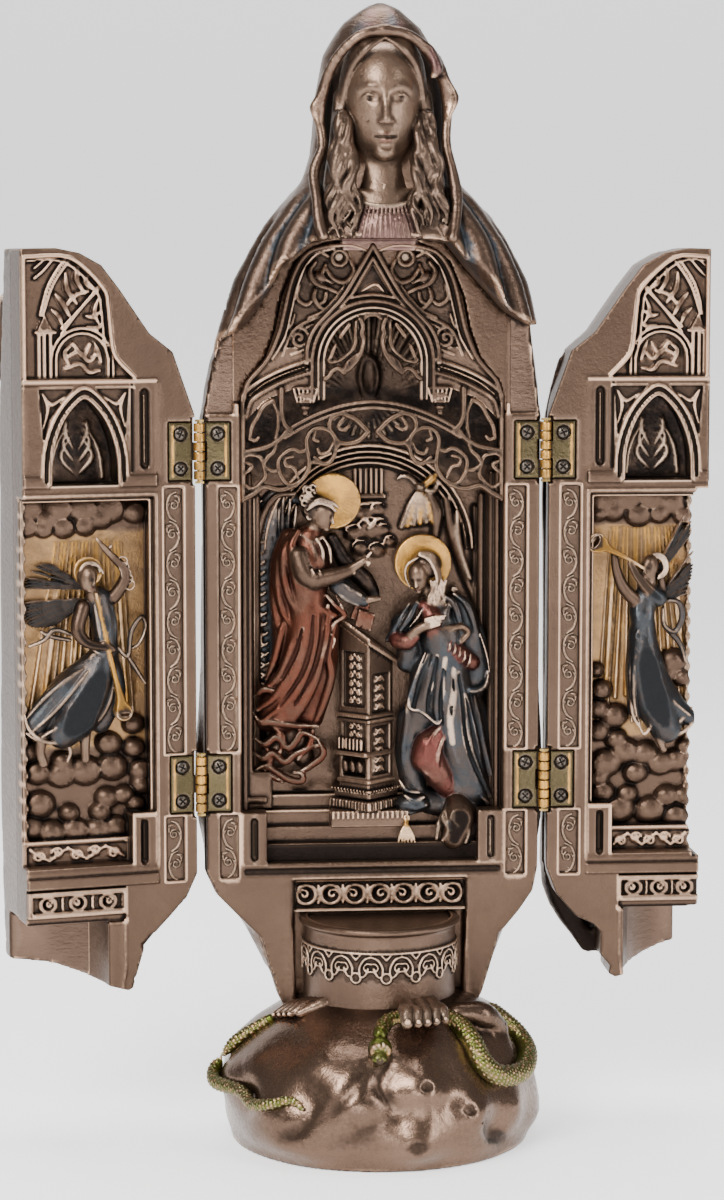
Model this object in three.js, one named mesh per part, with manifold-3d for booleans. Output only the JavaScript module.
// An opening shrine figurine: a veiled figure whose robe front is a pair of hinged wings.
// Open, they show a carved niche with a pierced screen and an annunciation scene.
// Millimetres, +Z up, front toward -Y, origin at the middle of the underside of the base.
import * as THREE from 'three';
import { mergeVertices } from 'three/addons/utils/BufferGeometryUtils.js';
import Module from 'manifold-3d';

const wasm = await Module();
wasm.setup();

// ---------------------------------------------------------------- driving dimensions
const HEIGHT = 285;
const AXIS_X = 1.6;            // head, drum and base stand this far right of the niche's middle
const HINGE_X = 43.5;          // pin axes, either side of the niche's middle
const HINGE_Y = -0.4;          // pin axes, just in front of the body's face
const FACE_GAP = 0.8;          // between the closed wings and the face
const REST_LEFT = 14;          // degrees the left wing stands forward of flat
const REST_RIGHT = 0;
const SEAM_X = 1.6;            // where the closed wings meet
const SEAM_GAP = 0.4;
const CLEAR = 0.3;

const NICHE = { half: 33.2, depth: 15, floor: 70, back: 15 };
const SCREEN = { front: 0.7, back: 3.9, low: 162, top: 226 };
const HINGE = { upper: 174.6, lower: 90.7, height: 14.3, leaf: 7.6, plate: 0.8, knuckle: 1.45, pin: 0.65 };
const SCREW = { head: 1.6, shank: 0.75, length: 3.6, rise: 4.3, reach: 4.6 };
const PANEL = { from: 11.5, low: 71.5, high: 163.5, depth: 8 };
const LEDGE = { low: 66, high: 69.8 };
const BLOCK = { from: 10.8, low: 167.5, high: 192 };
const DRUM = { radius: 19.4, low: 34, high: 56.5 };
const BASE = { radius: 41, height: 38 };

// ---------------------------------------------------------------- solids from geometries
function solid(geometry) {
  const bare = geometry.index ? geometry.clone() : geometry;
  bare.deleteAttribute('normal');
  bare.deleteAttribute('uv');
  const merged = mergeVertices(bare, 1e-4);
  const index = merged.index.array;
  const kept = [];
  for (let i = 0; i < index.length; i += 3) {
    const [a, b, c] = [index[i], index[i + 1], index[i + 2]];
    if (a !== b && b !== c && c !== a) kept.push(a, b, c);
  }
  const make = (order) => new wasm.Manifold(new wasm.Mesh({
    numProp: 3,
    vertProperties: new Float32Array(merged.attributes.position.array),
    triVerts: new Uint32Array(order),
  }));
  const made = make(kept);
  if (made.volume() > 0) return made;
  const turned = [];
  for (let i = 0; i < kept.length; i += 3) turned.push(kept[i], kept[i + 2], kept[i + 1]);
  return make(turned);
}

function geometryOf(manifold) {
  const mesh = manifold.getMesh();
  const geometry = new THREE.BufferGeometry();
  geometry.setAttribute('position', new THREE.BufferAttribute(new Float32Array(mesh.vertProperties), 3));
  geometry.setIndex(new THREE.BufferAttribute(new Uint32Array(mesh.triVerts), 1));
  geometry.computeVertexNormals();
  return geometry;
}

const join = (...parts) => parts.flat(Infinity).reduce((sum, part) => sum.add(part));
const cut = (from, ...parts) => parts.flat(Infinity).reduce((left, part) => left.subtract(part), from);
const span = (count) => Array.from({ length: count }, (_, i) => i);
const mix = (a, b, t) => a + (b - a) * t;
const ramp = (from, to, value) => {
  const t = Math.min(1, Math.max(0, (value - from) / (to - from)));
  return t * t * (3 - 2 * t);
};

// a box between two corners
function box(x0, x1, y0, y1, z0, z1) {
  const shape = new THREE.BoxGeometry(Math.abs(x1 - x0), Math.abs(y1 - y0), Math.abs(z1 - z0));
  shape.translate((x0 + x1) / 2, (y0 + y1) / 2, (z0 + z1) / 2);
  return solid(shape);
}

// an outline in x and z, carried from y0 to y1
function slab(outline, y0, y1) {
  const shape = new THREE.Shape(outline.map(([x, z]) => new THREE.Vector2(x, z)));
  const depth = Math.abs(y1 - y0);
  const made = new THREE.ExtrudeGeometry(shape, { depth, bevelEnabled: false, curveSegments: 6 });
  made.rotateX(Math.PI / 2);
  made.translate(0, Math.max(y0, y1), 0);
  return solid(made);
}

// an upright round bar or disc
function rod(x, y, z0, z1, radius, sides = 12) {
  const made = new THREE.CylinderGeometry(radius, radius, z1 - z0, sides);
  made.rotateX(Math.PI / 2);
  made.translate(x, y, (z0 + z1) / 2);
  return solid(made);
}

// a disc or bar that lies along y
function disc(x, z, y0, y1, radius, sides = 12) {
  const made = new THREE.CylinderGeometry(radius, radius, Math.abs(y1 - y0), sides);
  made.translate(x, (y0 + y1) / 2, z);
  return solid(made);
}

function ball(x, y, z, rx, ry = rx, rz = rx, wide = 6, tall = 4) {
  const made = new THREE.SphereGeometry(1, wide, tall);
  made.rotateX(Math.PI / 2);
  made.scale(rx, ry, rz);
  made.translate(x, y, z);
  return solid(made);
}

// a closed skin from rings of points, closed at each end by its middle
function skin(rings) {
  const sides = rings[0].length;
  const points = rings.flat();
  const middle = (ring) => ring.reduce((sum, p) => sum.add(p), new THREE.Vector3()).divideScalar(sides);
  points.push(middle(rings[0]), middle(rings[rings.length - 1]));
  const faces = [];
  for (let r = 0; r + 1 < rings.length; r++) {
    for (let s = 0; s < sides; s++) {
      const [a, b] = [r * sides + s, r * sides + (s + 1) % sides];
      faces.push(a, b, b + sides, a, b + sides, a + sides);
    }
  }
  const [first, last] = [points.length - 2, points.length - 1];
  const top = (rings.length - 1) * sides;
  for (let s = 0; s < sides; s++) {
    faces.push(first, (s + 1) % sides, s, last, top + s, top + (s + 1) % sides);
  }
  const made = new THREE.BufferGeometry();
  made.setAttribute('position', new THREE.Float32BufferAttribute(points.flatMap((p) => [p.x, p.y, p.z]), 3));
  made.setIndex(faces);
  return solid(made);
}

// a round limb, strand or fold along a smooth path; radii are spread along it
function limb(path, radii, { sides = 5, steps = Math.round((path.length - 1) * 1.5), flat = 1 } = {}) {
  const curve = new THREE.CatmullRomCurve3(path.map((p) => new THREE.Vector3(...p)));
  const frames = curve.computeFrenetFrames(steps, false);
  const rings = span(steps + 1).map((i) => {
    const t = i / steps;
    const at = curve.getPointAt(t);
    const place = t * (radii.length - 1);
    const low = Math.min(Math.floor(place), radii.length - 2);
    const radius = mix(radii[low], radii[low + 1], place - low);
    return span(sides).map((s) => {
      const a = (s / sides) * 2 * Math.PI;
      return at.clone()
        .addScaledVector(frames.normals[i], radius * Math.cos(a))
        .addScaledVector(frames.binormals[i], radius * flat * Math.sin(a));
    });
  });
  return skin(rings);
}

// a draped skirt along a path, its section rippled into folds
function drape(path, radii, { folds = 4, depth = 0.16, sides = 14, steps = 4, flat = 0.7, turn = 0 } = {}) {
  const curve = new THREE.CatmullRomCurve3(path.map((p) => new THREE.Vector3(...p)));
  const rings = span(steps + 1).map((i) => {
    const t = i / steps;
    const at = curve.getPointAt(t);
    const place = t * (radii.length - 1);
    const low = Math.min(Math.floor(place), radii.length - 2);
    const radius = mix(radii[low], radii[low + 1], place - low);
    return span(sides).map((s) => {
      const a = (s / sides) * 2 * Math.PI;
      const r = radius * (1 + depth * t * Math.cos(folds * a + turn + 2 * t));
      return new THREE.Vector3(at.x + r * Math.cos(a), at.y + flat * r * Math.sin(a), at.z);
    });
  });
  return skin(rings);
}

// points of an arc in x and z, angles in degrees from +x
function arc(x, z, radius, from, to, count) {
  return span(count + 1).map((i) => {
    const a = THREE.MathUtils.degToRad(mix(from, to, i / count));
    return [x + radius * Math.cos(a), z + radius * Math.sin(a)];
  });
}

// a band of even width that follows an arc
const bow = (x, z, inner, outer, from, to, y0, y1, count = 10) =>
  slab([...arc(x, z, outer, from, to, count), ...arc(x, z, inner, to, from, count)], y0, y1);

// a straight bar of even width between two points in x and z
function bar([x0, z0], [x1, z1], width, y0, y1) {
  const length = Math.hypot(x1 - x0, z1 - z0);
  const [nx, nz] = [(-(z1 - z0) / length) * width / 2, ((x1 - x0) / length) * width / 2];
  return slab([[x0 + nx, z0 + nz], [x1 + nx, z1 + nz], [x1 - nx, z1 - nz], [x0 - nx, z0 - nz]], y0, y1);
}

// the largest of the bodies in a solid, without slivers where skins only graze
const largest = (manifold) => manifold.decompose().reduce((a, b) => (a.volume() > b.volume() ? a : b));

const mirrorX = (outline) => outline.map(([x, z]) => [-x, z]).reverse();
const bothSides = (outline) => [...outline, ...mirrorX(outline)];

// ---------------------------------------------------------------- the closed figure's outer form
// height, middle, half width, depth to the front, depth to the back, squareness of the plan
const FORM = [
  [36, 2, 26.5, 25, 22, 2.3],
  [51, 2, 31, 27, 25, 2.5],
  [57, 1.5, 36.5, 27.5, 25.5, 2.7],
  [62, 0.8, 40.6, 28.2, 26, 2.8],
  [68, 0, 42.6, 28.5, 26, 3],
  [130, 0, 42.6, 28, 26, 3],
  [183, 0, 42.6, 26.5, 26, 3],
  [196, 0.4, 40.6, 24.5, 25.5, 2.7],
  [206, 1.4, 38.6, 22.5, 25, 2.4],
  [216, 1.8, 35.2, 20.5, 24, 2.2],
  [227, 1.8, 31, 18.8, 22.5, 2.1],
  [235, 1.8, 25.5, 16.5, 21, 2.05],
  [241, 1.8, 19.8, 14.2, 19.5, 2],
  [248, 1.8, 17.5, 12.5, 19, 2],
  [262, 1.8, 16.4, 12, 19.5, 2],
  [272, 1.6, 14.2, 11, 18, 2],
  [279, 1.6, 10.3, 8, 13.5, 2],
  [283.5, 1.6, 5, 4, 7, 2],
  [HEIGHT, 1.6, 1, 1, 2, 2],
];

function formAt(z) {
  let low = 0;
  while (low < FORM.length - 2 && FORM[low + 1][0] <= z) low++;
  const t = (z - FORM[low][0]) / (FORM[low + 1][0] - FORM[low][0]);
  return FORM[low].map((value, i) => mix(value, FORM[low + 1][i], t));
}

// robe folds, shallow at the shoulders, deeper towards the hem, none where the hinges sit
function foldOut(z, angle) {
  const front = Math.sin(angle) < 0;
  const robe = 1.2 * ramp(195, 90, z) * Math.cos((front ? 12 : 10) * angle + 1.4 * Math.sin(z / 27));
  const shoulder = 0.7 * ramp(190, 205, z) * ramp(236, 228, z) * Math.cos(9 * angle + z / 9);
  const veil = 0.5 * ramp(238, 246, z) * Math.cos(8 * angle + z / 12);
  return (robe + shoulder + veil) * Math.sin(angle) ** 2;
}

function outerForm(sides = 32) {
  const levels = FORM.map((row) => row[0]);
  const heights = [...levels, 98, 157].sort((a, b) => a - b);
  return skin(heights.map((z) => {
    const [, middle, half, front, back, square] = formAt(z);
    return span(sides).map((s) => {
      const a = (s / sides) * 2 * Math.PI;
      const [c, d] = [Math.cos(a), Math.sin(a)];
      const grow = 1 + foldOut(z, a) / 28;
      const x = half * Math.sign(c) * Math.abs(c) ** (2 / square) * grow;
      const y = (d < 0 ? front : back) * Math.sign(d) * Math.abs(d) ** (2 / square) * grow;
      return new THREE.Vector3(middle + x, y, z);
    });
  }));
}

// sleeves and hands joined in prayer stand out on the front of the closed robe
function prayingArms(side) {
  const sleeve = limb([[side * 30, -20, 178], [side * 17, -26, 186], [side * 4, -28, 196]],
    [7, 6.5, 4.2], { sides: 8, steps: 5 });
  const hands = limb([[-1, -29, 193], [-0.8, -27.4, 203], [-0.6, -24, 213]], [3.4, 2.9, 1.3], { sides: 6, steps: 4 });
  return side < 0 ? [sleeve, hands] : [sleeve];
}

// ---------------------------------------------------------------- the line where robe and cape part
// distance from the pin and height of the wing's upper edge
const WING_TOP = [[0, 182], [3, 189.5], [6.5, 199.4], [12.4, 204], [20, 215], [24.5, 220.8], [30, 223.8],
  [36, 225], [48, 225]];
// distance from the pin and height of the wing's lower edge
const WING_LOW = [[0, 68], [3.5, 61], [8.8, 55], [13.2, 53], [15, 51], [15, 45], [17.6, 42], [17.2, 40],
  [19, 39], [24, 40.5], [34, 43.5], [48, 45]];
// the lower front edge of the cape, across the niche's middle
const HEM = [[-46, 183.5], [-43.4, 184], [-41, 193], [-38.2, 202.3], [-31.7, 206.4], [-26.3, 214.7],
  [-23.4, 220.7], [-16.3, 226.6], [-8, 227.6], [8, 227.6], [17.9, 226.4], [22.6, 220.5], [32.6, 209.4],
  [38.4, 205.9], [41.6, 205.9], [43, 190], [43.4, 184], [46, 183.5]];

// what the swinging wings sweep in front of the face, turned about a pin
function sweep(side) {
  const profile = [[0, 20], [58, 20], [58, 225.6], ...WING_TOP.slice(1, -1).reverse()
    .map(([r, z]) => [r + 0.3, z + 0.9]), [0, 183]];
  const made = new THREE.LatheGeometry(profile.map(([r, z]) => new THREE.Vector2(r, z)), 20);
  made.rotateX(Math.PI / 2);
  made.translate(side * HINGE_X, HINGE_Y, 0);
  return solid(made).intersect(box(-70, 70, -70, 0, 0, 230));
}

// ---------------------------------------------------------------- hinges
const hingeHeights = { upper: HINGE.upper, lower: HINGE.lower };
const KNUCKLES = 3;
const screwPlaces = (middle) => [middle + SCREW.rise, middle - SCREW.rise];

// a plate with its knuckles, reaching from the pin towards +x; the pin is at x 0, y 0
function hingeLeaf(middle, knuckles) {
  const low = middle - HINGE.height / 2;
  const step = HINGE.height / KNUCKLES;
  const face = -HINGE_Y - 0.05;
  const plate = box(HINGE.knuckle * 0.6, HINGE.leaf, face, face + HINGE.plate, low, low + HINGE.height);
  const rest = span(KNUCKLES).filter((k) => !knuckles.includes(k));
  const gaps = rest.map((k) => box(0, 1.9, -2, 2,
    low + k * step - 0.15 - (k === 0 ? 1 : 0), low + (k + 1) * step + 0.15 + (k === KNUCKLES - 1 ? 1 : 0)));
  const barrels = knuckles.map((k) => rod(0, 0, low + k * step + (k === 0 ? 0 : 0.15),
    low + (k + 1) * step - (k === KNUCKLES - 1 ? 0 : 0.15), HINGE.knuckle, 8));
  const bore = rod(0, 0, low - 1, low + HINGE.height + 1, HINGE.pin + CLEAR, 6);
  const holes = screwPlaces(middle).map((z) => disc(SCREW.reach, z, -1, 3, SCREW.head + 0.35, 6));
  return cut(join(cut(plate, gaps), barrels), bore, holes);
}

function hingePin(middle) {
  const half = HINGE.height / 2;
  const head = 1.25;
  const profile = [[0, -half - 0.9], [head, -half - 0.8], [head, -half - CLEAR], [HINGE.pin, -half - CLEAR],
    [HINGE.pin, half + CLEAR], [head, half + CLEAR], [head, half + 0.8], [0, half + 0.9]];
  const made = new THREE.LatheGeometry(profile.map(([r, z]) => new THREE.Vector2(r, z)), 6);
  made.rotateX(Math.PI / 2);
  made.translate(0, 0, middle);
  return solid(made);
}

// a countersunk screw that points along +y; its head is flush with the leaf
function screw(z) {
  const profile = [[0, -0.25], [SCREW.head, 0], [SCREW.shank, 0.95], [SCREW.shank, SCREW.length],
    [0, SCREW.length]];
  const made = new THREE.LatheGeometry(profile.map(([r, y]) => new THREE.Vector2(r, y)), 6);
  made.translate(SCREW.reach, -HINGE_Y - 0.05, z);
  return solid(made);
}

// what a hinge needs cut from the wood-like frame that carries it, on the +x side of the pin
function hingeSeat(middle) {
  const half = HINGE.height / 2 + CLEAR;
  const face = -HINGE_Y - 0.05;
  const pocket = box(-3, HINGE.leaf + CLEAR, -3, face + HINGE.plate + CLEAR, middle - half, middle + half);
  const barrel = box(-3, HINGE.knuckle + 0.45, -3, 1.9, middle - half - 1, middle + half + 1);
  const holes = screwPlaces(middle).map((z) => disc(SCREW.reach, z, 0, SCREW.length + 1, SCREW.shank + 0.35, 6));
  return join(pocket, barrel, holes);
}

// turns a solid made for the right of a pin to the left of it
function flipX(manifold) {
  const made = geometryOf(manifold);
  made.scale(-1, 1, 1);
  return solid(made);
}

// ---------------------------------------------------------------- the body
const inwards = (side, manifold) => (side > 0 ? flipX(manifold) : manifold).translate([side * HINGE_X, HINGE_Y, 0]);

function nicheSpace() {
  const half = NICHE.half;
  const outline = bothSides([[half, NICHE.floor], [half, 187], [32, 191.8], [27.3, 197.4], [24.6, 204.8],
    [23, 213], [19.4, 221.6], [11.5, 226.4]]);
  return slab(outline, -40, NICHE.depth);
}

// a sunk strip for a scroll band, with a wavy stem standing in it; y is the face and out its outward sense
function scrollStrip(middle, z0, z1, y, out = -1) {
  const [half, pitch, lean, thick] = [2.4, 7.4, 1.1, 0.55];
  const count = Math.round((z1 - z0) / pitch);
  const bends = span(count + 1).map((i) => [middle + (i % 2 ? lean : -lean), mix(z0 + 0.8, z1 - 0.8, i / count)]);
  const outline = [...bends.map(([x, z]) => [x + thick, z]), ...bends.reverse().map(([x, z]) => [x - thick, z])];
  return {
    pocket: box(middle - half, middle + half, y + 2 * out, y - 0.6 * out, z0, z1),
    stem: slab(outline, y + 0.15 * out, y - 1 * out),
  };
}

// a lying strip with rings side by side
function ringStrip(x0, x1, z0, z1, y, count) {
  const pitch = (x1 - x0) / count;
  return span(count).map((i) => {
    const x = x0 + (i + 0.5) * pitch;
    const z = (z0 + z1) / 2;
    const radius = Math.min(pitch, z1 - z0) * 0.42;
    return disc(x, z, y - 0.5, y + 1, radius, 6);
  });
}

function gabriel(back) {
  const y = back - 6;
  const halo = disc(-11.3, 162, back - 9.4, back, 7.2, 12);
  const head = ball(-12.6, y - 4.2, 160, 3.2, 3.4, 3.9);
  const hair = ball(-14, y - 2.6, 160.8, 3.6, 3.4, 3.9);
  const chest = limb([[-14, y - 1.5, 156], [-16.2, y - 1, 147], [-17.5, y, 136]], [3.2, 5.2, 5], { sides: 6 });
  const robe = drape([[-17, y, 141], [-18.5, y + 0.5, 122], [-21.5, y + 1, 98], [-21.8, y + 1, 90.5]],
    [5.4, 7.4, 8.2, 7.6], { folds: 5, depth: 0.2, sides: 15, steps: 3 });
  const cloak = limb([[-20.5, y - 1, 153], [-24, y - 1, 138], [-27, y, 118], [-28.2, y + 1, 103]],
    [3, 4.4, 4.8, 3.4], { sides: 6 });
  const armUp = limb([[-17.6, y - 3, 152.6], [-14.6, y - 6, 142.8], [-7.5, y - 6, 145.3], [-1, y - 5.5, 148]],
    [2.6, 2.7, 1.8, 1], { steps: 5 });
  const armLow = limb([[-12, y - 2, 146], [-7, y - 3.5, 139.8], [1.6, y - 3, 137]], [2.4, 2.2, 1], { steps: 4 });
  const feather = (x, z, length, lean) => bar([x, z], [x - length * lean, z - length], 3.4, back - 3.5, back + 1);
  const wing = [
    ...span(3).map((i) => feather(-20.6 - i * 2.8, 163 - Math.abs(i - 1.4) * 2.2, 24 + i * 9.4, 0.05 + i * 0.036)),
    limb([[-17, back - 3, 155], [-21, back - 2.6, 163.5], [-26, back - 2, 165]], [2, 2.2, 1.4]),
  ];
  return [halo, head, hair, chest, robe, cloak, armUp, armLow, ...wing];
}

function mary(back) {
  const y = back - 6;
  const halo = disc(12.7, 146.7, back - 9, back, 7.3, 12);
  const head = ball(12.2, y - 4.4, 143.4, 3.1, 3.4, 3.7);
  const hair = limb([[14.4, y - 2.5, 146.6], [16, y - 2.6, 140], [17.8, y - 2, 132]], [2.6, 2.4, 1.3], { steps: 4 });
  const chest = limb([[13.4, y - 1.8, 140], [15.6, y - 1.5, 132], [18, y, 120]], [3, 5.6, 6.6], { sides: 6 });
  const arm = limb([[19.5, y - 2.5, 135.5], [20.5, y - 5.5, 127.5], [14.5, y - 6.5, 131.5]], [2.6, 2.8, 1.4]);
  const sleeve = limb([[10.5, y - 2, 136], [9.4, y - 5, 128.6], [15, y - 6.8, 132.5]], [2.2, 3, 1.3]);
  const skirt = drape([[17.5, y, 124], [17.5, y - 0.5, 110], [19.2, y + 0.3, 94], [19.8, y + 0.5, 84.2]],
    [6.4, 8.6, 10, 11.4], { folds: 6, depth: 0.16, sides: 18, steps: 3, flat: 0.62 });
  const knee = limb([[13.5, y - 3.5, 106], [14, y - 5, 97], [16.5, y - 4.5, 87.5]], [2.4, 4, 3], { sides: 6 });
  const train = limb([[23, y - 1, 118], [27, y, 101], [29.5, y, 86.5]], [2.6, 3.4, 3.2], { sides: 6 });
  const cushion = ball(9.6, y - 3.5, 84.6, 4.4, 4, 2);
  const bundle = limb([[17.6, y - 4.5, 84], [20.6, y - 7, 79], [21.6, y - 7, 74]], [2.6, 3.8, 2.4], { sides: 6 });
  return [halo, head, hair, chest, arm, sleeve, skirt, knee, train, cushion, bundle];
}

function lectern(back) {
  const [left, right] = [-7.2, 6.2];
  const front = back - 11;
  const top = slab([[-8.8, 131.5], [-7, 119.5], [7.6, 117], [5.6, 129]], front - 1.2, back);
  const post = box(left, right, front, back, 94, 122);
  const shelf = box(left - 1.6, -0.5, front - 2, back, 103, 105);
  const opening = box(left + 1, -1, front - 3, front + 1.6, 105, 115);
  const panel = box(0.8, right - 0.8, front - 3, front + 0.7, 98, 116);
  const foot = box(left - 1.2, right + 1, front - 1.3, back, 82, 94);
  const plinth = box(left - 2, right + 1.8, front - 2.2, back, 82, 85.5);
  return [cut(join(post, foot), opening, panel), top, shelf, plinth];
}

function niche() {
  const back = NICHE.back;
  const steps = span(3).map((i) => box(-NICHE.half - 1, NICHE.half + 1, 2 + i * 3.6, back + 1,
    NICHE.floor - 1, NICHE.floor + 4 * (i + 1)));
  const pier = [box(-33.5, -25.2, 6, back + 1, 84, 92.4), box(-33.5, -28.8, 8.5, back + 1, 92, 150)];
  const columns = span(2).map((i) => rod(32.2 - i * 2.8, back - 7 + i * 4, 82, 170 - i * 2, 1.8, 6));
  const arches = span(2).map((i) => bow(0, 150, 24 - i * 4, 26 - i * 4, 8, 172, back - 3 + i * 0.9, back + 1, 6));
  const rays = span(3).map((i) => {
    const a = THREE.MathUtils.degToRad(50 + i * 40);
    return bar([0, 190], [32 * Math.cos(a), 190 + 32 * Math.sin(a)], 1.6, back - 1.4, back + 1)
      .intersect(slab([[-30, 181], [30, 181], [22, 220], [8, 224], [-8, 224], [-22, 220]], 0, back + 1));
  });
  const curtain = limb([[13.5, back - 1.5, 168], [11.4, back - 2.5, 160], [12.8, back - 2, 154]], [1.2, 2.6, 1.6]);
  return [steps, pier, columns, arches, rays, curtain, gabriel(back), mary(back), lectern(back)].flat();
}

function drum() {
  const r = DRUM.radius;
  const profile = [[0, DRUM.low], [r, DRUM.low], [r, 44], [r + 0.5, 44.2], [r + 0.5, 51.4], [r, 51.6],
    [r, DRUM.high - 2.2], [r + 0.7, DRUM.high - 1.8], [r + 0.7, DRUM.high], [0, DRUM.high]];
  const turned = new THREE.LatheGeometry(profile.map(([x, z]) => new THREE.Vector2(x, z)), 22);
  turned.rotateX(Math.PI / 2);
  turned.translate(AXIS_X, 0, 0);
  return solid(turned);
}

// ---------------------------------------------------------------- the rocky base, the feet and the snake
const BOSSES = span(34).map((i) => {
  const turn = i * 2.39996;
  const rise = 5 + 27 * ((i * 0.618) % 1);
  return { turn, rise, size: 6 + 3 * ((i * 0.37) % 1), out: 1.4 + 1.6 * ((i * 0.73) % 1) };
});

function rockRadius(turn, z) {
  const t = Math.min(1, Math.max(0, z / BASE.height));
  const dome = BASE.radius * (1 - t ** 3.4) ** (1 / 2.4);
  const tuck = 1 - 0.04 * ramp(7, 0, z);
  const lumps = BOSSES.reduce((sum, boss) => {
    const gap = Math.abs(Math.atan2(Math.sin(turn - boss.turn), Math.cos(turn - boss.turn)));
    const away = Math.hypot(gap * BASE.radius * 0.85, z - boss.rise);
    return sum + boss.out * Math.exp(-((away / boss.size) ** 2));
  }, 0);
  return dome * tuck - 1.6 + lumps * ramp(1, 0.72, t) * ramp(-1, 5, z);
}

function rock() {
  const heights = [0, 3, 10, 18, 26, 33, 37.2];
  const sides = 24;
  return skin(heights.map((z) => span(sides).map((s) => {
    const a = (s / sides) * 2 * Math.PI;
    const r = rockRadius(a, z);
    return new THREE.Vector3(AXIS_X + r * Math.cos(a), r * Math.sin(a), z);
  })));
}

// a point on the rock, by degrees round from +x and height, lifted off by a little
function onRock([degrees, z, lift]) {
  const a = THREE.MathUtils.degToRad(degrees);
  const r = rockRadius(a, z) + lift;
  return [AXIS_X + r * Math.cos(a), r * Math.sin(a), z];
}

function snake() {
  const head = [[-92, 30.5, 2.2], [-88, 33.5, 1.8]];
  const loop = [[-80, 35, 1.2], [-66, 35.2, 1.4], [-54, 31, 1.6], [-48, 24.5, 1.6], [-40, 19.5, 1.6],
    [-30, 19.5, 1.6], [-20, 23, 1.6], [-21, 29, 1.5], [-32, 33.5, 1.4]];
  const tail = [[-139, 34, 1], [-152, 30, 1.2], [-162, 24, 1], [-160, 18, 1], [-148, 15.5, 1], [-138, 15.5, 1],
    [-131, 17.5, 1], [-124, 15.5, 0.7]];
  const body = limb([...head, ...loop].map(onRock), [2.6, 1.9, 2, 2.3, 2.5, 2.7, 2.7, 2.6, 2.4],
    { sides: 5, steps: 15 });
  const end = limb(tail.map(onRock), [1.9, 1.8, 1.7, 1.4, 0.7], { sides: 4, steps: 9 });
  const snout = ball(...onRock([-92, 29.6, 2.2]), 3.2, 2.8, 3, 6, 4);
  return [body, end, snout];
}

function feet() {
  const toes = (x, y, count, lean, z) => span(count).map((i) => {
    const big = i === 0 ? 1.25 : 1 - i * 0.07;
    return limb([[x + i * 2.1 * lean, y + 5.4 + i * 0.5, z - 0.4], [x + i * 2.3 * lean, y - 0.6 + i * 0.9, z - 1.6]],
      [1.4 * big, 1.4 * big], { sides: 5, steps: 1 });
  });
  return [
    limb([[8, -18, 37], [10, -25, 37.2], [10.5, -29, 36.6]], [5, 4.8, 3.6], { sides: 6, flat: 0.9 }),
    ...toes(5.6, -32, 5, 1, 36.6),
    limb([[-15, -12, 36.5], [-20.5, -17, 35.6], [-23.4, -20, 34]], [4.6, 4.6, 4.4], { sides: 6, flat: 0.9 }),
    ...toes(-20.6, -25, 4, -0.85, 34.4),
  ];
}

// ---------------------------------------------------------------- head, neck and hair
function head() {
  const x = AXIS_X;
  const face = [
    ball(x, -9.4, 261, 9.4, 10.2, 13.6, 10, 7),
    limb([[x, -18.6, 266], [x, -19.8, 261.5], [x, -20.4, 258.4]], [0.9, 1.2, 1.7], { steps: 3 }),
    ball(x, -17.3, 254.2, 3, 2, 1.3, 6, 4),
    ball(x, -16.4, 249.6, 3, 2.4, 2.2, 6, 4),
    ...[-1, 1].map((side) => limb([[x + side * 6.6, -16, 266.4], [x + side * 3.8, -18.2, 267.4],
      [x + side * 1.4, -18.4, 266]], [0.7, 0.9, 0.7], { steps: 3 })),
    ...[-1, 1].map((side) => ball(x + side * 3.9, -17, 263.6, 2, 1.2, 1.1, 6, 4)),
  ];
  const neck = limb([[x, -5, 252], [x, -6, 242], [x, -8, 232]], [6, 5.9, 7.6], { sides: 8, steps: 3 });
  const strand = (side, from, to, radius, phase) => limb(span(7).map((i) => {
    const t = i / 6;
    const wave = 1.3 * Math.sin(t * 9 + phase);
    return [x + side * (mix(from[0], to[0], t) + wave), mix(from[1], to[1], t) - 0.5 * Math.cos(t * 9 + phase),
      mix(from[2], to[2], t)];
  }), [radius * 0.8, radius, radius, radius * 0.5], { sides: 4, steps: 7 });
  const hair = [-1, 1].flatMap((side) => [
    strand(side, [8.6, -12.6, 268], [13.6, -18, 229], 2.2, side),
    strand(side, [9.6, -11.6, 262], [10.4, -18.6, 226], 2, side + 2),
    limb([[x + side * 0.6, -13, 275.2], [x + side * 5.8, -14.6, 272.6], [x + side * 9, -12.4, 265]],
      [1.3, 1.9, 1.8], { steps: 4 }),
  ]);
  return [...face, neck, ...hair];
}

function veilOpening() {
  return [
    ball(AXIS_X, -15, 259, 10.6, 9.5, 17.5, 10, 7),
    ball(AXIS_X, -20, 241, 10.5, 10, 8, 8, 6),
  ];
}

// ---------------------------------------------------------------- assembling the cast body
const figure = outerForm();

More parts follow.
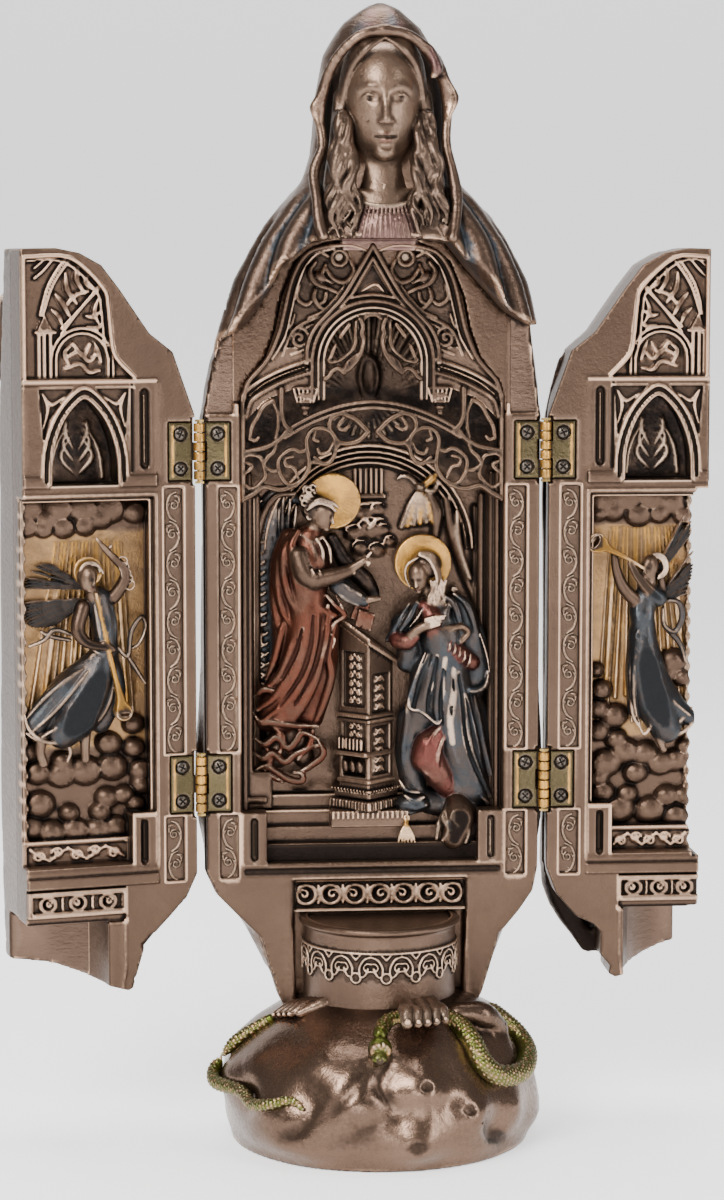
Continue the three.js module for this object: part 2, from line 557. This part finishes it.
function statueBody() {
  const hem = slab([...HEM, [70, 183.5], [70, 10], [-70, 10], [-70, 183.5]], -70, 0);
  let body = cut(figure, veilOpening());
  body = join(body, head());
  body = cut(body, hem, sweep(-1), sweep(1));
  body = cut(body, box(-35.2, 35.2, -0.1, 2.2, 183.6, 240).intersect(hem.translate([0, 2.2, 0])), nicheSpace());
  const bands = [-1, 1].flatMap((side) => [
    scrollStrip(side * 36.3, 98.8, 165.4, 0),
    scrollStrip(side * 36.3, 66, 82.8, 0),
  ]);
  body = cut(body, bands.map((band) => band.pocket));
  body = join(body, bands.map((band) => band.stem));
  const blocks = [-1, 1].map((side) => cut(box(side * 26.6, side * 33.6, 0, NICHE.back, NICHE.floor - 2, 83),
    box(side * 29.2, side * 30.8, -1, 3, 70.5, 81)));
  body = join(body, blocks, niche(), box(-33.6, 33.6, 0, NICHE.back + 1, LEDGE.low, LEDGE.high));
  body = cut(body, box(-21.8 + AXIS_X, 22.2 + AXIS_X, -2, 4.5, 30, LEDGE.low));
  body = join(body, ringStrip(-21.6 + AXIS_X, 22 + AXIS_X, 57.2, 65.4, 4.5, 7), drum());
  body = join(body, rock(), feet(), snake());
  body = cut(body, Object.values(hingeHeights).flatMap((z) => [-1, 1].map((side) => inwards(side, hingeSeat(z)))));
  return body;
}

// ---------------------------------------------------------------- the pierced screen
function tracery() {
  const { front, back } = SCREEN;
  const edge = [[0.9, 180], [0.9, 184.2], [4.2, 183], [4.4, 178.2], [8.2, 175.4], [13, 172.2], [17.6, 168.4],
    [22, 167.4], [25.6, 165.2], [29.5, 163.4], [32.9, SCREEN.low], [32.9, 186.6], [31.7, 191.4],
    [27, 197.1], [24.2, 204.6], [22.6, 212.8], [19.1, 221.3], [11.4, 226]];
  const plate = slab(bothSides(edge), front, back);
  const crown = (x) => 187.3 - 6.6 * (x / 24) ** 2;
  const void_ = slab(bothSides([[0, crown(0)], [8, crown(8)], [16, crown(16)], [24, crown(24)],
    [30.5, 181.5], [26, 187.4], [19.2, 190.4], [15.4, 190.6], [12.6, 194], [9, 192.6], [5.4, 194.4],
    [2.4, 191.6], [2.2, 197]]).filter((p, i) => i !== 0), front - 1, back + 1);
  const key = disc(0, 200.6, front - 1, back + 1, 3, 8);
  const eyes = [-1, 1].map((side) => slab([[side * 5.6, 198], [side * 8.2, 196.6], [side * 10, 199],
    [side * 8.6, 202.4], [side * 6.2, 203.6]], front - 1, back + 1));
  const gable = slab([[-5.6, 211.6], [5.6, 211.6], [0, 220.2]], front - 1, back + 1);
  const band = [[7.6, 180.6, 2.3], [12.8, 176, 2.3], [20.6, 172, 2.6], [29.6, 168.4, 2.2]];
  const holes = [-1, 1].flatMap((side) => [
    ...band.map(([x, z, r]) => disc(side * x, z, front - 1, back + 1, r, 5)),
    slab([[side * 26, 171.4], [side * 29.6, 174], [side * 30.2, 179], [side * 27.4, 183.6], [side * 25.2, 178]],
      front - 1, back + 1),
  ]);
  const sunk = [-1, 1].map((side) => slab([[side * 8.6, 223.4], [side * 16.6, 219.8], [side * 20, 212],
    [side * 21.4, 203], [side * 15.6, 210.4], [side * 8.2, 215.2]], front - 1, front + 1.5));
  const leaves = [-1, 1].flatMap((side) => [
    disc(side * 11.6, 218.4, front + 0.3, back, 2.6, 6), disc(side * 16.8, 213, front + 0.3, back, 2.4, 6),
  ]);
  const arch = bow(0, 196.4, 12.4, 15.8, 0, 180, front - 0.5, back, 9);
  const ribs = [-1, 1].flatMap((side) => [
    bar([0, 224.6], [side * 9.2, 210], 1.7, front - 0.5, back),
    bar([side * 9, 210.4], [side * 16.4, 203], 1.7, front - 0.5, back),
    bar([side * 15.8, 203.6], [side * 17.2, 192], 1.7, front - 0.5, back),
    bar([side * 17, 192.2], [side * 31, 188], 2, front - 0.5, back),
    slab([[side * 14.6, 192.4], [side * 20.2, 192.4], [side * 19.2, 187.6], [side * 17.4, 183.4],
      [side * 15.6, 187.6]], front - 0.3, back),
  ]);
  const rib = slab([...arc(0, 140.6, 46.8, 58, 122, 6), ...arc(0, 140.6, 45.2, 122, 58, 6)], front - 0.4, back);
  return join(cut(plate, void_, key, eyes, gable, holes, sunk), leaves, arch, ribs, rib);
}

// ---------------------------------------------------------------- the wings, made closed about their pins
// side -1 is the left wing, whose distances from the pin run towards +x
function wing(side, width) {
  const toX = (u) => -side * u;
  const face = HINGE_Y;
  const lay = (outline, w0, w1) => slab(outline.map(([u, z]) => [toX(u), z]), face - w0, face - w1);
  const brick = (u0, u1, w0, w1, z0, z1) => box(toX(u0), toX(u1), face - w0, face - w1, z0, z1);
  const bead = (u, w, z, ru, rw, rz, wide, tall) => ball(toX(u), face - w, z, ru, rw, rz, wide, tall);
  const strand = (path, radii, how) => limb(path.map(([u, w, z]) => [toX(u), face - w, z]), radii, how);
  const cone = (path, radii, how) => drape(path.map(([u, w, z]) => [toX(u), face - w, z]), radii, how);

  const outline = [[0.9, 68], ...WING_LOW.slice(1, -1), [width, 44.8], [width, 224.8],
    ...WING_TOP.slice(1, -1).reverse(), [0.9, 183.6]];
  const shell = join(figure, prayingArms(side)).translate([-side * HINGE_X, -HINGE_Y, 0]);
  let made = shell.intersect(lay(outline, 0, 60));

  // the sunk panel, the ledge's frieze, the hollow for the drum
  const { from, low, high, depth } = PANEL;
  made = cut(made,
    brick(from, 60, -1, depth, low, high),
    brick(20.3, 60, -1, 1.2, 57, LEDGE.low),
    rod(AXIS_X - side * HINGE_X, -HINGE_Y, 20, 57, DRUM.radius + 1.6, 24));
  const bands = [[98.8, 165.4], [66, 82.8]].map(([z0, z1]) => scrollStrip(toX(6.15), z0, z1, face, 1));
  made = join(cut(made, bands.map((band) => band.pocket)), bands.map((band) => band.stem));
  made = join(made, cut(brick(from - 1, 17, 0.2, depth + 1, 69, 83), brick(13.6, 15.2, -1, 3, 70.5, 81)));

  // the pointed niche over the panel
  const arch = (grow, floor) => {
    const [half, tall] = [9.4 + grow, 18.6 + grow];
    const bend = [[half, 0], [half, 0.3], [half * 0.9, 0.55], [half * 0.6, 0.8], [0, 1]];
    const rightHalf = bend.map(([u, t]) => [29.4 + u, floor + t * tall]);
    const leftHalf = bend.slice(0, -1).reverse().map(([u, t]) => [29.4 - u, floor + t * tall]);
    return [...rightHalf, ...leftHalf];
  };
  made = cut(made, lay(arch(0, 168.2), -1, 10), lay(arch(1.8, 167.8), -1, 0.9));
  made = cut(made, brick(13.2, 15, -1, 2, 170.5, 190));
  made = cut(made, [[19.6, 189.4], [39.2, 189.4]].map(([u, z]) => lay([[u - 2.4, z], [u + 2.4, z], [u, z - 7]], -1, 1)));
  made = cut(made, brick(BLOCK.from, 60, -1, 0.7, BLOCK.high - 0.2, BLOCK.high + 0.5));

  // the carved field over the niche
  const field = [[19.5, 193.4], [26.5, 204.6], [26.5, 212.6], [36, 222.4], [width - 1.4, 222.4], [width - 1.4, 193.4]];
  made = cut(made, lay(field, -1, 1.6));
  const raised = [
    lay([[42.6, 193], [38.6, 193], [38.6, 205], [40.6, 210], [42.6, 205]], 0.2, 3),
    ...[[36.5, 222.6, 44, 206], [36, 222.6, 27, 206.5], [26.6, 205, 38.5, 203.4]].map(([u0, z0, u1, z1]) =>
      bar([toX(u0), z0], [toX(u1), z1], 1.3, face - 0.4, face - 3)),
    bow(toX(29.6), 193, 7.6, 9, 0, 180, face - 0.3, face - 3, 8),
    ...[[30, 198.4, 2.8], [36, 212, 2.6]].map(([u, z, r]) =>
      disc(toX(u), z, face - 0.7, face - 3, r, 6)),
  ];
  made = join(made, raised.map((piece) => piece.intersect(lay(outline, 0, 6))));

  // clouds along the foot and the head of the panel
  const clouds = (count, z0, z1, size) => span(count).map((i) => bead(from + 2 + (width - from - 4) * ((i * 0.618) % 1),
    depth + 0.4, mix(z0, z1, ((i * 0.381) % 1)), size + (i % 3) * 0.6, 3 - (i % 2), size * 0.72, 6, 3));
  made = join(made, clouds(6, 83, 98, 5.4), clouds(2, 157, 161, 4.6));
  made = join(made, brick(18, width, depth - 2.4, depth + 1, low - 1, 77.6));
  made = join(made, span(3).map((i) => disc(toX(24.5 + i * 7.4), 61.4, face - 0.5, face - 2, 3, 8)));

  const rays = span(3).map((i) => {
    const u = from + 6 + i * 9;
    return bar([toX(u), 153], [toX(u + (i - 1) * 3), 101], 1, face - depth + 0.5, face - depth - 1);
  });
  made = join(made, rays, side < 0 ? leftAngel(bead, strand, cone, depth) : rightAngel(bead, strand, cone, depth));
  made = made.intersect(lay([[0.9, 20], [width, 20], [width, 240], [0.9, 240]], 0.1, 60));
  return largest(cut(made, Object.values(hingeHeights).map((z) => flipFor(side, hingeSeat(z)))));
}

// a hinge part made for +x and +y, turned to the closed wing's side of the pin
function flipFor(side, manifold) {
  const made = geometryOf(manifold);
  made.scale(-side, -1, 1);
  return solid(made);
}

function leftAngel(bead, strand, cone, depth) {
  const w = depth - 2.4;
  return [
    bead(27.2, w - 1.4, 143.2, 2.5, 2.5, 2.9), bead(28, w - 0.8, 146, 3.4, 2.4, 1.6),
    strand([[24, w, 139.5], [23.4, w, 133], [25.4, w, 126]], [3.4, 4.2, 4], { sides: 6 }),
    strand([[23, w, 140], [18, w + 0.2, 147.8], [21, w + 0.6, 151.5], [25, w + 1, 154.6]], [2.6, 2.6, 2.4, 2]),
    strand([[27, w - 0.6, 138], [30.2, w - 1.6, 129.4], [23, w - 2.2, 127]], [2, 2.1, 1], { steps: 4 }),
    strand([[25.4, w - 2.2, 140.3], [22, w - 2.4, 126], [19, w - 1.8, 114], [18.3, w - 1.4, 110.8]],
      [0.9, 0.8, 1, 2.6], { steps: 3 }),
    cone([[26, w, 129], [29.5, w, 119], [35, w + 0.4, 108], [38.5, w + 0.6, 103.5]], [4.6, 6, 7.4, 7.8],
      { folds: 4, depth: 0.2, sides: 11, flat: 0.5, steps: 3 }),
    ...[0, 1].map((i) => strand([[26, w + 1.2, 139 - i], [34, w + 1, 144 - 7 * i], [43.6, w + 1.2, 143.6 - 8 * i]],
      [1.8, 3, 1.2], { steps: 2 })),
    strand([[23, w, 134], [15.6, w + 1, 132], [15.6, w + 1.4, 119]], [1.2, 1.2, 1.4], { sides: 4, steps: 3 }),
    strand([[36, w, 106], [39.2, w, 102], [40, w, 98.6]], [1.6, 1.3, 0.9]), 
    strand([[31, w, 107], [29.6, w, 102], [28.4, w, 98.8]], [1.6, 1.3, 0.9]),
  ];
}

function rightAngel(bead, strand, cone, depth) {
  const w = depth - 2.4;
  return [
    bead(26.7, w - 1.4, 145.4, 2.6, 2.5, 2.9), bead(27.8, w - 0.6, 146.4, 2.9, 2.4, 2.6),
    strand([[27, w, 141], [26, w, 135], [27, w, 128]], [3.2, 4, 3.8], { sides: 6 }),
    strand([[25, w, 140], [19.4, w, 137.6], [18, w, 146.4]], [2.4, 2.6, 2.2], { steps: 3 }),
    strand([[28.4, w, 140.4], [33.6, w + 0.6, 136.4], [33.4, w + 0.6, 129.6]], [1.9, 2.4, 2.4], { steps: 3 }),
    strand([[25, w - 1, 145.4], [18, w - 0.4, 148.4], [14.4, w, 150.6]], [1, 1.4, 2.6], { steps: 3 }),
    cone([[26.6, w, 131], [29, w, 120], [31.4, w + 0.4, 108], [32, w + 0.6, 102.6]], [4.4, 5.6, 7, 7.4],
      { folds: 4, depth: 0.2, sides: 11, flat: 0.5, steps: 3 }),
    ...[0, 1].map((i) => strand([[28, w + 1.2, 141 - i], [33.6, w + 1, 147 - 5 * i], [36.4, w + 1.4, 158 - 11 * i]],
      [1.8, 2.8, 1.2], { steps: 2 })),
    strand([[28, w, 134], [35, w + 1, 132], [34.6, w + 1.4, 120]], [1.2, 1.2, 1.4], { sides: 4, steps: 3 }),
    strand([[30.4, w, 107], [30.6, w, 102], [29.8, w, 98.4]], [1.6, 1.3, 0.9]),
  ];
}

// ---------------------------------------------------------------- the scene
const finish = (color, roughness, metalness) => new THREE.MeshStandardMaterial({ color, roughness, metalness });
const BRONZE = finish(0x7d6453, 0.42, 0.85);
const SCREEN_BRONZE = finish(0x8f7561, 0.4, 0.85);
const AGED_BRASS = finish(0x6b5a34, 0.38, 1);
const BRIGHT_BRASS = finish(0xb08d4a, 0.28, 1);
const STEEL = finish(0x8c8a86, 0.3, 1);

const figurine = new THREE.Group();
figurine.position.x = -AXIS_X;

function place(parent, name, manifold, material) {
  const mesh = new THREE.Mesh(geometryOf(manifold), material);
  mesh.name = name;
  parent.add(mesh);
}

place(figurine, 'statue_body', statueBody(), BRONZE);
place(figurine, 'tracery_screen', tracery(), SCREEN_BRONZE);

const WINGS = [
  { name: 'left', side: -1, width: HINGE_X + SEAM_X - SEAM_GAP / 2, rest: -(180 - REST_LEFT) },
  { name: 'right', side: 1, width: HINGE_X - SEAM_X - SEAM_GAP / 2, rest: 180 - REST_RIGHT },
];

for (const { name, side, width, rest } of WINGS) {
  const swing = new THREE.Group();
  swing.position.set(side * HINGE_X, HINGE_Y, 0);
  swing.rotation.z = THREE.MathUtils.degToRad(rest);
  figurine.add(swing);
  place(swing, `wing_${name}`, wing(side, width), BRONZE);

  const still = new THREE.Group();
  still.position.set(side * HINGE_X, HINGE_Y, 0);
  figurine.add(still);
  for (const [level, z] of Object.entries(hingeHeights)) {
    const label = `hinge_${name}_${level}`;
    const still_ = (manifold) => (side > 0 ? flipX(manifold) : manifold);
    place(still, `${label}_leaf_body`, still_(hingeLeaf(z, [0, 2])), AGED_BRASS);
    place(still, `${label}_pin`, hingePin(z), BRIGHT_BRASS);
    place(swing, `${label}_leaf_wing`, flipFor(side, hingeLeaf(z, [1])), AGED_BRASS);
    screwPlaces(z).forEach((height, i) => {
      place(still, `${label}_screw_body_${i + 1}`, still_(screw(height)), STEEL);
      place(swing, `${label}_screw_wing_${i + 1}`, flipFor(side, screw(height)), STEEL);
    });
  }
}

const group = new THREE.Group();
group.add(figurine);
export default group;
